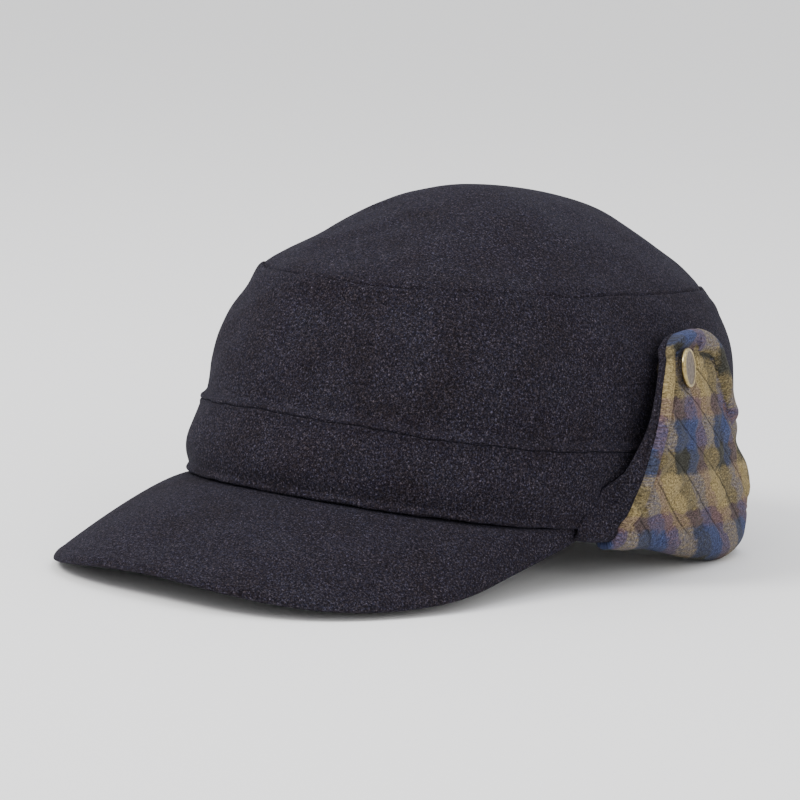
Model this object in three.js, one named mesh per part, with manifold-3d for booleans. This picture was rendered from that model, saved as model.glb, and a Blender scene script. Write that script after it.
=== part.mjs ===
// A wool field cap with a short peak and two quilted earflaps, turned up and snapped to the crown.
// Millimetres, +Z up. The wearer faces -Y, so the wearer's left is +X.
// The cap lies as it would on a table: on the peak's edge and on the folds of the two flaps.

import * as THREE from 'three';
import { mergeVertices } from 'three/addons/utils/BufferGeometryUtils.js';
import Module from 'manifold-3d';

const wasm = await Module();
wasm.setup();

// Cloth thicknesses and clearances.
const BAND_OUTER = 0.0; // the band's faces from the sections
const BAND_INNER = -3.0;
const SHELL_CLOTH = 2.4; // the flap's wool side
const LINING_CLOTH = 3.0; // the flap's quilted flannel side
const INNER_LINING = 1.6; // the same lining where it is only a seam allowance
const WALL_CLOTH = 2.4;
const SEWN_GAP = 0.3; // between two sewn pieces
const LOOSE_GAP = 0.5; // between the flap and the band that it wraps

// How finely the cloth is drawn.
const AROUND = 52; // columns round the head
const PEAK_COLUMNS = 28;
const ROUND_SIDES = 16;

// The crown's sections from the foot of the turned-up flaps to the apex: the height at the front, at the
// side and at the back, half the width, and the reach forwards and backwards from the head's axis.
const SECTIONS = [
  { name: 'fold', front: -11.0, side: -17.5, back: -15.5, halfWidth: 83.0, fore: 100.0, aft: 98.0 },
  { name: 'hem', front: 0.0, side: -6.0, back: -4.0, halfWidth: 83.5, fore: 100.5, aft: 99.0 },
  { name: 'belly', front: 11.0, side: 5.5, back: 7.5, halfWidth: 85.0, fore: 101.0, aft: 101.0 },
  { name: 'bandTop', front: 25.5, side: 19.5, back: 22.5, halfWidth: 84.0, fore: 94.5, aft: 102.0 },
  { name: 'wallLow', front: 39.0, side: 35.0, back: 36.5, halfWidth: 82.5, fore: 91.3, aft: 102.5 },
  { name: 'wallMid', front: 52.0, side: 50.0, back: 50.0, halfWidth: 79.3, fore: 86.9, aft: 101.5 },
  { name: 'shoulder', front: 62.5, side: 61.5, back: 60.5, halfWidth: 73.5, fore: 81.0, aft: 97.5 },
  { name: 'topSeam', front: 70.0, side: 70.0, back: 68.0, halfWidth: 66.5, fore: 76.0, aft: 92.0 },
  { name: 'domeLow', front: 78.5, side: 79.5, back: 78.5, halfWidth: 55.0, fore: 61.0, aft: 80.0 },
  { name: 'domeMid', front: 88.0, side: 90.0, back: 90.0, halfWidth: 40.5, fore: 41.5, aft: 61.0 },
  { name: 'domeHigh', front: 97.3, side: 98.2, back: 98.7, halfWidth: 24.0, fore: 20.2, aft: 36.5 },
  { name: 'apex', front: 102.0, side: 102.0, back: 102.0, halfWidth: 0.0, fore: 0.0, aft: 0.0 },
];
const FIELDS = ['front', 'side', 'back', 'halfWidth', 'fore', 'aft'];
const SQUARENESS = 2.25; // exponent of the plan's oval; 2 would be an ellipse
const level = Object.fromEntries(SECTIONS.map((row, i) => [row.name, i]));

// Broad dents and swellings where the soft crown has slumped: positive depths go in.
const DENTS = [
  { angle: 12, level: 5.2, spread: 15, height: 1.5, depth: 2.2 },
  { angle: 38, level: 4.6, spread: 13, height: 1.4, depth: -1.2 },
  { angle: -30, level: 5.0, spread: 14, height: 1.4, depth: 1.1 },
  { angle: 66, level: 5.6, spread: 12, height: 1.3, depth: 1.2 },
  { angle: 156, level: 5.2, spread: 14, height: 1.4, depth: 1.2 },
  { angle: 205, level: 4.8, spread: 16, height: 1.4, depth: 1.4 },
];

// Where each flap's rear edge presses the crown and the band in, measured round from the front on either side.
const FLANK_DENTS = [
  { angle: 117, level: 3.95, spread: 10, height: 0.6, depth: 3.2 },
  { angle: 124, level: 2.9, spread: 11, height: 0.4, depth: 2.8 },
];

// Each sheet from its lower edge to its upper edge: how far its outer and inner faces stand out from the
// sections. The band is a second layer sewn over the crown's foot, so it stands proud.
const BAND_ROWS = [
  { level: 1.0, outer: -0.8, inner: -2.3 },
  { level: 1.12, outer: 0.0, inner: -3.0 },
  { level: 1.6, outer: 0.0, inner: -3.0 },
  { level: 2.2, outer: 0.0, inner: -3.0 },
  { level: 2.55, outer: 0.0, inner: -3.0 },
  { level: 2.88, outer: 0.0, inner: -3.0 },
  { level: 3.0, outer: -0.8, inner: -3.0 },
];
const WALL_ROWS = [
  { level: 3.03, outer: -1.6, inner: -3.6 },
  { level: 3.2, outer: -0.9, inner: -3.2 },
  { level: 3.8, outer: -0.2, inner: -2.6 },
  { level: 4.5, outer: 0.0, inner: -2.4 },
  { level: 5.2, outer: 0.0, inner: -2.4 },
  { level: 5.9, outer: 0.0, inner: -2.4 },
  { level: 6.5, outer: 0.2, inner: -2.2 },
  { level: 6.88, outer: 0.8, inner: -1.8 },
  { level: 6.98, outer: 0.2, inner: -1.8 },
];
const TOP_ROWS = [
  { level: 7.02, outer: -0.5, inner: -2.4 },
  { level: 7.15, outer: 0.3, inner: -2.4 },
  { level: 7.6, outer: 0.2, inner: -2.4 },
  { level: 8.2, outer: 0.0, inner: -2.4 },
  { level: 8.9, outer: 0.0, inner: -2.4 },
  { level: 9.6, outer: 0.0, inner: -2.4 },
  { level: 10.3, outer: 0.0, inner: -2.4 },
];

// The peak: a stiffened, arched crescent sewn under the band's front.
const PEAK = {
  halfAngle: 74.2, // how far round the band its ends lie
  inset: 1.6, // where its top face starts, inside the band's face
  drop: 0.4, // its top face, under the band's edge
  halfWidth: 83.2,
  reach: 59.0,
  slope: 20.6,
  arch: 9.2, // how much lower the sides of its edge are than the middle
  twist: 1.4, // how much lower still its right side hangs
  swell: 3.0, // how much its face bulges between the band and the edge
  shortest: 12.0, // where it is narrower than this, it bulges less
  corner: 3.0, // exponent of its outline
  taper: 0.7, // from here its outline draws in towards its ends
  board: 3.2, // thickness over the board
  lip: 2.6, // thickness at the turned edge
  allowance: 1.8, // thickness of the edge that is turned up and sewn inside the band
  turnUp: 4.5, // and how far it reaches up
};
const PEAK_ROWS = [1, 0.97, 0.9, 0.7, 0.45, 0.2, 0];

// The left flap from its fold to the top of its tab: the angles of the lining's front and rear edges, how
// far the shell shows in front of the lining, how far the front edge stands off the crown, how far the
// shell lies back in front of that, how much slack the rear hangs with, and how much the turned edge swells.
const FLAP_ROWS = [
  { level: 1.0, front: 79.0, rear: 131.0, margin: 4.1, lift: 1.5, back: 1.0, slack: 2.6, roll: 0.0 },
  { level: 1.5, front: 79.8, rear: 130.5, margin: 4.6, lift: 2.2, back: 1.0, slack: 2.2, roll: 0.0 },
  { level: 2.2, front: 81.6, rear: 127.5, margin: 3.6, lift: 4.5, back: 0.8, slack: 0.8, roll: 0.0 },
  { level: 2.55, front: 82.5, rear: 124.8, margin: 2.9, lift: 5.6, back: 0.5, slack: 0.3, roll: 0.0 },
  { level: 3.0, front: 83.6, rear: 122.5, margin: 2.2, lift: 6.5, back: 0.3, slack: 0.0, roll: 0.1 },
  { level: 3.4, front: 84.9, rear: 119.7, margin: 1.7, lift: 6.8, back: 0.1, slack: 0.0, roll: 0.9 },
  { level: 3.8, front: 86.0, rear: 116.5, margin: 1.2, lift: 7.0, back: 0.0, slack: 0.0, roll: 1.0 },
  { level: 4.35, front: 87.7, rear: 112.5, margin: 0.8, lift: 6.0, back: 0.0, slack: 0.0, roll: 1.0 },
  { level: 4.9, front: 90.0, rear: 108.8, margin: 0.8, lift: 4.5, back: 0.0, slack: 0.0, roll: 1.0 },
  { level: 5.3, front: 91.9, rear: 106.6, margin: 0.8, lift: 3.5, back: 0.0, slack: 0.0, roll: 1.0 },
  { level: 5.5, front: 93.6, rear: 105.0, margin: 0.8, lift: 3.0, back: 0.0, slack: 0.0, roll: 1.0 },
  { level: 5.6, front: 95.6, rear: 103.2, margin: 0.8, lift: 2.5, back: 0.0, slack: 0.0, roll: 1.0 },
];
const FLAP_COLUMNS = [0, 0.03, 0.09, 0.2, 0.32, 0.44, 0.56, 0.68, 0.79, 0.89, 0.96, 1];
const SHELL_COLUMNS = [-1, -0.5, ...FLAP_COLUMNS]; // below 0, shares of the margin in front of the lining
const FOLD_STEPS = 5; // facets round the fold
const FOLD_RISE = 15.6; // how high the fold's front end stays above the table
const FOLD_DOWN = 0.7; // share of the flap's width over which it comes down to it
const FOLD_CURVE = 1.35; // and the exponent of its way down
const ALLOWANCE = 7.0; // how far the flap's sewn edge reaches up inside the band
const PINCH = { least: 0.4, over: 6.0 }; // the shell's thickness at its front and rear edges, over degrees
const EDGE_SHARE = 0.09; // share of the flap's width over which an edge rounds off
const EDGE_LEVELS = 0.25; // and the same under its top edge, in levels
const ROLL = 2.8; // how much thicker the rolled edge is

// The snap: a domed cap on the lining, its socket behind the flap, and the stud on the crown's wall.
const SNAP = {
  across: 0.19,
  level: 4.7,
  turn: 10, // how far the cap leans to the rear on its padding
  nod: 8, // and how far down
  cap: 6.8,
  height: 1.7,
  post: 1.8,
  socket: 4.2,
  depth: 2.4,
  bore: 2.4,
};
const STUD = { flange: 4.2, rise: 0.8, nub: 2.1, washer: 4.0, washerHeight: 0.8 };

// How the cap lies on a table: the table's height under the head's axis, how steeply it climbs towards the
// back as the cap sees it, and how much the cloth gives where it bears.
const TABLE = { height: -24.3, pitch: 2.72, give: 0.8 };

const UP = new THREE.Vector3(0, 0, 1);
const radians = THREE.MathUtils.degToRad;
const { lerp, smoothstep, clamp } = THREE.MathUtils;

const materials = {
  wool: new THREE.MeshStandardMaterial({ color: 0x2a2933, roughness: 0.95, metalness: 0 }),
  lining: new THREE.MeshStandardMaterial({ color: 0x77705c, roughness: 0.95, metalness: 0 }),
  brass: new THREE.MeshStandardMaterial({ color: 0x9b8a63, roughness: 0.4, metalness: 0.9 }),
};

// One section between two rows of the table, by a Catmull-Rom curve through four of them.
function sectionAt(at) {
  const last = SECTIONS.length - 1;
  const i = Math.min(Math.floor(clamp(at, 0, last)), last - 1);
  const f = clamp(at, 0, last) - i;
  const near = [i - 1, i, i + 1, i + 2].map((k) => SECTIONS[clamp(k, 0, last)]);
  const section = {};
  for (const field of FIELDS) {
    const [a, b, c, d] = near.map((row) => row[field]);
    const cubic = (3 * (b - c) + d - a) * f * f * f + (2 * a - 5 * b + 4 * c - d) * f * f;
    section[field] = 0.5 * (2 * b + (c - a) * f + cubic);
  }
  return section;
}

// A point of the bare section surface. The angle is in degrees from the front, towards the wearer's left.
function sectionPoint(angle, at) {
  const section = sectionAt(at);
  const s = Math.sin(radians(angle));
  const c = Math.cos(radians(angle));
  const power = 2 / SQUARENESS;
  const reach = c > 0 ? section.fore : section.aft;
  const end = c > 0 ? section.front : section.back;
  return new THREE.Vector3(
    section.halfWidth * Math.sign(s) * Math.abs(s) ** power,
    -reach * Math.sign(c) * Math.abs(c) ** power,
    section.side + (end - section.side) * c * c,
  );
}

function sectionNormal(angle, at) {
  const step = 0.01;
  const along = sectionPoint(angle + step * 20, at).sub(sectionPoint(angle - step * 20, at));
  const up = sectionPoint(angle, at + step).sub(sectionPoint(angle, at - step));
  return along.cross(up).normalize();
}

function depthOf(dent, angle, at) {
  const turn = (((angle - dent.angle + 540) % 360) - 180) / dent.spread;
  const rise = (at - dent.level) / dent.height;
  return dent.depth * Math.exp(-turn * turn - rise * rise);
}

function flankDepth(angle, at) {
  return FLANK_DENTS.reduce((sum, dent) => sum + depthOf(dent, angle, at), 0);
}

function dentDepth(angle, at) {
  const flanks = flankDepth(angle, at) + flankDepth(360 - angle, at);
  return DENTS.reduce((sum, dent) => sum + depthOf(dent, angle, at), flanks);
}

// A point of the crown's cloth, so far proud of the sections.
function crownPoint(angle, at, proud) {
  return sectionPoint(angle, at).addScaledVector(sectionNormal(angle, at), proud - dentDepth(angle, at));
}

// The table's height in the cap's own frame, and a point kept from sinking into it.
function tableAt(y) {
  return TABLE.height + Math.tan(radians(TABLE.pitch)) * y;
}

function pressed(point) {
  point.z = Math.max(point.z, tableAt(point.y));
  return point;
}

// A closed sheet between two grids of points. Rows climb and columns run anticlockwise seen from above, so
// that the face grid is the outer one. A loop joins its last column to its first, and a pole closes the top.
function sheetGeometry(face, back, { loop = false, pole = null } = {}) {
  const position = [];
  const index = [];
  const put = (p) => position.push(p.x, p.y, p.z) / 3 - 1;
  const faceId = face.map((row) => row.map(put));
  const backId = back.map((row) => row.map(put));
  const columns = faceId[0].length;
  const spans = loop ? columns : columns - 1;
  const top = faceId.length - 1;
  const quad = (a, b, c, d) => index.push(a, b, c, a, c, d);
  for (let j = 0; j < spans; j++) {
    const k = (j + 1) % columns;
    for (let i = 0; i < top; i++) {
      quad(faceId[i][j], faceId[i][k], faceId[i + 1][k], faceId[i + 1][j]);
      quad(backId[i][j], backId[i + 1][j], backId[i + 1][k], backId[i][k]);
    }
    quad(backId[0][j], backId[0][k], faceId[0][k], faceId[0][j]);
    if (!pole) quad(faceId[top][j], faceId[top][k], backId[top][k], backId[top][j]);
  }
  if (pole) {
    const facePole = put(pole.face);
    const backPole = put(pole.back);
    for (let j = 0; j < spans; j++) {
      const k = (j + 1) % columns;
      index.push(faceId[top][j], faceId[top][k], facePole);
      index.push(backId[top][k], backId[top][j], backPole);
    }
  }
  if (!loop) {
    const end = columns - 1;
    for (let i = 0; i < top; i++) {
      quad(faceId[i][0], faceId[i + 1][0], backId[i + 1][0], backId[i][0]);
      quad(faceId[i + 1][end], faceId[i][end], backId[i][end], backId[i + 1][end]);
    }
  }
  const geometry = new THREE.BufferGeometry();
  geometry.setAttribute('position', new THREE.Float32BufferAttribute(position, 3));
  geometry.setIndex(index);
  geometry.computeVertexNormals();
  return geometry;
}

// A ring of cloth round the crown through the given rows.
function crownSheet(rows, pole) {
  const angles = Array.from({ length: AROUND }, (_, j) => (j * 360) / AROUND);
  const grid = (face) => rows.map((row) => angles.map((a) => crownPoint(a, row.level, row[face])));
  return sheetGeometry(grid('outer'), grid('inner'), { loop: true, pole });
}

function crownTop() {
  const apex = new THREE.Vector3(0, 0, SECTIONS[level.apex].front);
  return crownSheet(TOP_ROWS, { face: apex, back: apex.clone().addScaledVector(UP, TOP_ROWS.at(-1).inner) });
}

// A point under the band's hem, so far inside its face.
function underHem(across, inset) {
  const point = sectionPoint(across * PEAK.halfAngle, level.hem);
  const share = 1 - inset / Math.hypot(point.x, point.y);
  return point.set(point.x * share, point.y * share, point.z - PEAK.drop);
}

// A point on the peak's top face: across runs from -1 to 1, out from 0 at the band to 1 at the edge.
function peakPoint(across, out) {
  const root = underHem(across, PEAK.inset);
  const end = sectionPoint(PEAK.halfAngle, level.hem);
  const turn = (across * Math.PI) / 2;
  const power = 2 / PEAK.corner;
  const fore = SECTIONS[level.hem].fore + PEAK.reach * Math.cos(radians(PEAK.slope)) + end.y;
  const side = Math.sign(turn) * Math.abs(Math.sin(turn)) ** power;
  const edge = new THREE.Vector3(
    PEAK.halfWidth * side,
    end.y - fore * Math.abs(Math.cos(turn)) ** power,
    root.z,
  );
  edge.x = lerp(edge.x, root.x, smoothstep(Math.abs(across), PEAK.taper, 1) ** 2);
  const length = edge.distanceTo(root);
  const run = length * out;
  const point = root.clone().lerp(edge, out);
  const aside = point.x / PEAK.halfWidth;
  const droop = (PEAK.arch * aside ** 2 - PEAK.twist * aside) * (run / PEAK.reach);
  const swell = PEAK.swell * Math.sin(Math.PI * out ** 0.8) * Math.min(length / PEAK.shortest, 1);
  point.z += swell - droop - Math.tan(radians(PEAK.slope)) * run;
  return point;
}

// Rows climb from the peak's outer edge to the band, and then up inside it along the sewn allowance.
function peak() {
  const columns = Array.from({ length: PEAK_COLUMNS + 1 }, (_, j) => (2 * j) / PEAK_COLUMNS - 1);
  const thickness = (out) => lerp(PEAK.board, PEAK.lip, smoothstep(out, 0.9, 1));
  const sink = (out) => (out === 1 ? PEAK.lip / 4 : 0);
  const shift = (out, across, depth) => peakPoint(across, out).addScaledVector(UP, -depth);
  const face = PEAK_ROWS.map((out) => columns.map((across) => shift(out, across, sink(out))));
  const back = PEAK_ROWS.map((out) =>
    columns.map((across) => pressed(shift(out, across, thickness(out) - sink(out)))));
  const allowance = (inset, rise) => columns.map((across) => underHem(across, inset).addScaledVector(UP, rise));
  const front = -BAND_INNER + LOOSE_GAP;
  const behind = front + PEAK.allowance;
  face.push(allowance(front, 0), allowance(front, PEAK.turnUp));
  back.push(allowance(behind, -PEAK.board), allowance(behind, PEAK.turnUp));
  return sheetGeometry(face, back);
}

// One row of the flap at any level, read from its table.
function flapRow(at) {
  const last = FLAP_ROWS.length - 1;
  const above = FLAP_ROWS.findIndex((row) => row.level > at);
  const i = above < 0 ? last - 1 : Math.max(above - 1, 0);
  const from = FLAP_ROWS[i];
  const to = FLAP_ROWS[i + 1];
  const share = clamp((at - from.level) / (to.level - from.level), 0, 1);
  return Object.fromEntries(Object.keys(from).map((field) => [field, lerp(from[field], to[field], share)]));
}

function shareOf(row, angle) {
  return (angle - row.front) / (row.rear - row.front);
}

function slackOf(row, angle) {
  return row.slack * smoothstep(shareOf(row, angle), 0.3, 0.8);
}

// How far the front edge stands off the crown. The shell lies back towards it again in front of the lining.
function liftOf(row, angle) {
  const share = shareOf(row, angle);
  const ahead = clamp((row.front - angle) / row.margin, 0, 1);
  return row.lift * (Math.max(1 - share, 0) ** 2 - row.back * ahead);
}

// The shell's thickness at an angle: it thins towards its front and rear edges.
function shellAt(row, angle) {
  const edge = Math.min(angle - row.front + row.margin, row.rear - angle) / PINCH.over;
  const round = Math.sqrt(1 - (1 - clamp(edge, 0, 1)) ** 2);
  return SHELL_CLOTH * lerp(PINCH.least, 1, round);
}

// A point over the crown, under the flap: so far proud, and lifted towards the flap's front edge.
function underFlap(row, angle, at, proud) {
  const off = proud + liftOf(row, angle) + slackOf(row, angle) - flankDepth(angle, at);
  return sectionPoint(angle, at).addScaledVector(sectionNormal(angle, at), off);
}

// How full the cloth is at a place across the flap, so far below its top: it pinches together at an edge.
function fullness(across, below) {
  const side = clamp(Math.min(across, 1 - across) / EDGE_SHARE, 0, 1);
  const top = clamp(below / EDGE_LEVELS, 0, 1);
  const round = (share) => Math.sqrt(1 - (1 - share) ** 2);
  return 0.35 + 0.65 * round(side) * round(top);
}

// Where the flap's shell and lining meet, from the sewn edge inside the band, round the fold and up the
// outside. Each station holds the point, the way out through the lining, and both cloths' thicknesses.
function flapStations(across) {
  const angleOn = (row) => row.front + across * (across < 0 ? row.margin : row.rear - row.front);
  const row = flapRow(level.hem);
  const angle = angleOn(row);
  const hem = sectionPoint(angle, level.hem);
  const out = sectionNormal(angle, level.hem).setZ(0).normalize();
  const inward = out.clone().negate();
  const full = fullness(across, 1);
  const shell = shellAt(row, angle);
  const inside = BAND_INNER - LOOSE_GAP - shell;
  const outside = BAND_OUTER + LOOSE_GAP + shell;
  const foldOutside = outside + slackOf(row, angle);
  const radius = (foldOutside - inside) / 2;
  const centre = hem.clone().addScaledVector(out, (inside + foldOutside) / 2);
  const rise = FOLD_RISE * clamp(1 - shareOf(row, angle) / FOLD_DOWN, 0, 1) ** FOLD_CURVE;
  const bottom = tableAt(centre.y) - TABLE.give + rise;
  centre.z = Math.min(bottom + SEWN_GAP + LINING_CLOTH + radius, hem.z - LOOSE_GAP);
  const stations = [];
  const sewn = hem.clone().addScaledVector(out, inside).addScaledVector(UP, ALLOWANCE);
  stations.push({ point: sewn, way: inward, shell, lining: INNER_LINING });
  for (let k = 0; k <= FOLD_STEPS; k++) {
    const turn = (Math.PI * k) / FOLD_STEPS;
    const way = inward.clone().multiplyScalar(Math.cos(turn)).addScaledVector(UP, -Math.sin(turn));
    const lining = lerp(INNER_LINING, LINING_CLOTH, smoothstep(k, 0, FOLD_STEPS / 2)) * full;
    const point = centre.clone().addScaledVector(way, radius);
    stations.push({ point, way, shell, lining });
  }
  const top = FLAP_ROWS.at(-1).level;
  for (const here of FLAP_ROWS.slice(1)) {
    const turn = angleOn(here);
    const way = sectionNormal(turn, here.level);
    const below = fullness(0.5, top - here.level);
    const cloth = shellAt(here, turn) * below;
    const point = underFlap(here, turn, here.level, BAND_OUTER + LOOSE_GAP + cloth);
    const round = fullness(across, top - here.level);
    const edge = Math.max(smoothstep(across, 0.72, 0.9), smoothstep(here.level, top - 0.6, top - 0.2));
    const lining = LINING_CLOTH + ROLL * here.roll * edge;
    stations.push({ point, way, shell: cloth, lining: lining * round });
  }
  return stations;
}

function flapSheets() {
  const grid = (shares, distance) => {
    const columns = shares.map(flapStations);
    return columns[0].map((_, i) => columns.map((column) => {
      const station = column[i];
      return pressed(station.point.clone().addScaledVector(station.way, distance(station)));
    }));
  };
  // On the way up the outside the lining is the outer face, and the shell lies behind it.
  return {
    shell: sheetGeometry(grid(SHELL_COLUMNS, () => 0), grid(SHELL_COLUMNS, (s) => -s.shell)),
    lining: sheetGeometry(grid(FLAP_COLUMNS, (s) => SEWN_GAP + s.lining), grid(FLAP_COLUMNS, () => SEWN_GAP)),
  };
}

// The place of the snap on the lining, the direction of its cap, and the axis of its post and stud, which
// halves the angle between the flap and the crown's wall.
function snapPlace() {
  const row = flapRow(SNAP.level);
  const angle = lerp(row.front, row.rear, SNAP.across);
  const reach = BAND_OUTER + LOOSE_GAP + shellAt(row, angle) + SEWN_GAP + LINING_CLOTH;
  const step = 0.5;
  const centre = underFlap(row, angle, SNAP.level, reach);
  const along = underFlap(row, angle + step, SNAP.level, reach).sub(centre);
  const up = underFlap(row, angle, SNAP.level + 0.05, reach).sub(centre);
  const out = along.cross(up).normalize();
  const way = out.clone().applyAxisAngle(UP, radians(SNAP.turn));
  way.applyAxisAngle(new THREE.Vector3(-way.y, way.x, 0).normalize(), radians(SNAP.nod));
  return { centre, way, axis: out.add(sectionNormal(angle, SNAP.level)).normalize(), angle };
}

// How far along the snap's axis the crown wall's face lies, found by sliding a point over the wall.
function wallDistance({ centre, axis, angle }) {
  let turn = angle;
  let at = SNAP.level;
  let offset = new THREE.Vector3();
  for (let pass = 0; pass < 12; pass++) {
    offset = crownPoint(turn, at, 0).sub(centre);
    const aside = offset.clone().addScaledVector(axis, -offset.dot(axis));
    const along = crownPoint(turn + 1, at, 0).sub(crownPoint(turn, at, 0));
    const up = crownPoint(turn, at + 0.1, 0).sub(crownPoint(turn, at, 0));
    turn -= aside.dot(along) / along.lengthSq();
    at -= (0.1 * aside.dot(up)) / up.lengthSq();
  }
  return offset.dot(axis);
}

// A turned piece about the snap's axis, from rows of height along the axis and radius.
function turned(rows) {
  const points = rows.map(([height, radius]) => new THREE.Vector2(radius, height));
  return new THREE.LatheGeometry(points, ROUND_SIDES).rotateX(Math.PI / 2);
}

function placeOn(geometry, centre, way) {
  const turn = new THREE.Quaternion().setFromUnitVectors(UP, way);
  return geometry.applyQuaternion(turn).translate(centre.x, centre.y, centre.z);
}

function solidOf(geometry) {
  const bare = geometry.clone();
  bare.deleteAttribute('normal');
  bare.deleteAttribute('uv');
  const merged = mergeVertices(bare, 1e-3);
  return new wasm.Manifold(new wasm.Mesh({
    numProp: 3,
    vertProperties: merged.attributes.position.array,
    triVerts: new Uint32Array(merged.index.array),
  }));
}

function geometryOf(solid) {
  const mesh = solid.getMesh();
  const geometry = new THREE.BufferGeometry();
  geometry.setAttribute('position', new THREE.BufferAttribute(mesh.vertProperties, 3));
  geometry.setIndex(new THREE.BufferAttribute(mesh.triVerts, 1));
  geometry.computeVertexNormals();
  return geometry;
}

function cut(geometry, ...cutters) {
  return geometryOf(cutters.reduce((solid, cutter) => solid.subtract(solidOf(cutter)), solidOf(geometry)));
}

// The snap's cap, its post through the flap and the socket behind it are riveted into one piece. The stud is
// another: a nub in the socket, a flange on the crown's wall, and a post through it to a washer inside.
function snapPieces() {
  const { centre, way, axis, angle } = snapPlace();
  const seat = -0.6; // the cap is pressed into the padding
  const back = -(LINING_CLOTH + SEWN_GAP + SHELL_CLOTH + SEWN_GAP);
  const mouth = back - SNAP.depth;
  const top = seat + SNAP.height;
  const disc = [
    [seat, 0],
    [seat, SNAP.cap - 0.4],
    [seat + 0.5, SNAP.cap],
    [top - 0.5, SNAP.cap - 0.3],
    [top, SNAP.cap - 1.4],
    [top - 0.3, SNAP.cap - 2.0],
    [top - 0.1, 0],
  ];
  const socket = [
    [back - 0.8, 0],
    [back - 0.8, SNAP.bore],
    [mouth, SNAP.bore],
    [mouth, SNAP.socket],
    [back, SNAP.socket],
    [back, SNAP.post],
    [seat + 0.6, SNAP.post],
    [seat + 0.6, 0],
  ];
  const wall = wallDistance({ centre, axis, angle }) - SEWN_GAP;
  const inside = wall - WALL_CLOTH - SEWN_GAP;
  const stud = [
    [inside - STUD.washerHeight, 0],
    [inside - STUD.washerHeight, STUD.washer],
    [inside, STUD.washer],
    [inside, SNAP.post],
    [wall, SNAP.post],
    [wall, STUD.flange],
    [Math.min(wall + STUD.rise, mouth - 2 * SEWN_GAP), STUD.flange],
    [mouth - SEWN_GAP, STUD.nub],
    [back - 0.8 - SEWN_GAP, STUD.nub],
    [back - 0.8 - SEWN_GAP, 0],
  ];
  const onAxis = (rows) => placeOn(turned(rows), centre, axis);
  const bore = (from, to, radius) => [[from, 0], [from, radius], [to, radius], [to, 0]];
  const cap = solidOf(placeOn(turned(disc), centre, way)).add(solidOf(onAxis(socket)));
  return {
    cap: geometryOf(cap),
    stud: onAxis(stud),
    seat: placeOn(turned(bore(seat - SEWN_GAP, seat + 6, SNAP.cap + SEWN_GAP)), centre, way),
    hole: onAxis(bore(back - 6, 1, SNAP.post + SEWN_GAP)),
    socket: onAxis(bore(back - 6, back + SEWN_GAP, SNAP.socket + SEWN_GAP)),
    flange: onAxis(bore(wall - SEWN_GAP, 0, STUD.flange + SEWN_GAP)),
    wallHole: onAxis(bore(wall - 8, 0, SNAP.post + SEWN_GAP)),
    washer: onAxis(bore(inside - 8, inside + SEWN_GAP, STUD.washer + SEWN_GAP)),
  };
}

function named(name, geometry, material) {
  const mesh = new THREE.Mesh(geometry, material);
  mesh.name = name;
  return mesh;
}

const pieces = new THREE.Group();
const snap = snapPieces();
const sheets = flapSheets();
const snapHoles = [snap.flange, snap.wallHole, snap.washer];
const mirrored = (geometry) => {
  const other = geometry.clone().scale(-1, 1, 1);
  other.setIndex(Array.from(other.index.array).reverse());
  return other;
};
const wall = cut(crownSheet(WALL_ROWS), ...snapHoles, ...snapHoles.map(mirrored));
pieces.add(named('crown_top', crownTop(), materials.wool));
pieces.add(named('crown_wall', wall, materials.wool));
pieces.add(named('band', crownSheet(BAND_ROWS), materials.wool));
pieces.add(named('peak', peak(), materials.wool));

for (const [side, mirror] of [['left', 1], ['right', -1]]) {
  const flank = new THREE.Group();
  flank.scale.x = mirror;
  const shell = cut(sheets.shell, snap.hole, snap.socket);
  const lining = cut(sheets.lining, snap.seat, snap.hole);
  flank.add(named(`${side}_flap_shell`, shell, materials.wool));
  flank.add(named(`${side}_flap_lining`, lining, materials.lining));
  flank.add(named(`${side}_snap_cap`, snap.cap, materials.brass));
  flank.add(named(`${side}_snap_stud`, snap.stud, materials.brass));
  pieces.add(flank);
}

// Set down on the table, with the origin under the middle of the cap.
pieces.rotation.x = -radians(TABLE.pitch);
pieces.updateMatrixWorld(true);
const box = new THREE.Box3().setFromObject(pieces, true);
const centre = box.getCenter(new THREE.Vector3());
pieces.position.set(-centre.x, -centre.y, -box.min.z);

const cap = new THREE.Group();
cap.add(pieces);

export default cap;
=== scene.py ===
import math

import bpy
import numpy as np
from mathutils import Matrix, Vector


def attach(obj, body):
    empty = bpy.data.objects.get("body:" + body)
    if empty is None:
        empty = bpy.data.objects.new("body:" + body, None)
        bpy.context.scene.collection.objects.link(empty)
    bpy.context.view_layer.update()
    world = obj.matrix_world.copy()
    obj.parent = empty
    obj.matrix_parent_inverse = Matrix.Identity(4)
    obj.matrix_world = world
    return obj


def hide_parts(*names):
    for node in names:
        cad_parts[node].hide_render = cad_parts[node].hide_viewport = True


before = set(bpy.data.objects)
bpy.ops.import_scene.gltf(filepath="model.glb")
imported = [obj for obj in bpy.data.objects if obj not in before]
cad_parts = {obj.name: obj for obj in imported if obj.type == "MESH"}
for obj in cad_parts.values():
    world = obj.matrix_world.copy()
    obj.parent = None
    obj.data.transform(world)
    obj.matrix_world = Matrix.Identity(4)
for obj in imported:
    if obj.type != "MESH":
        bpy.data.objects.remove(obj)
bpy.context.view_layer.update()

# The cap's own frame is in millimetres, with the band's front hem at height 0 and the wearer facing -Y. The
# cap lies tipped back on the table, on its peak's edge and the folds of its flaps. The shift brings the
# middle of the whole over the origin and its foot down to the floor.
table = dict(height=-24.3, pitch=2.72, give=0.8, shift=(0.0, 26.307, 24.273))
tipAngle = math.radians(-table["pitch"])
tip = np.array([
    [1, 0, 0],
    [0, math.cos(tipAngle), -math.sin(tipAngle)],
    [0, math.sin(tipAngle), math.cos(tipAngle)],
])
up = np.array([0, 0, 1.0])


def toRow(points):
    return (points @ tip.T + table["shift"]) / 1000


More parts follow.
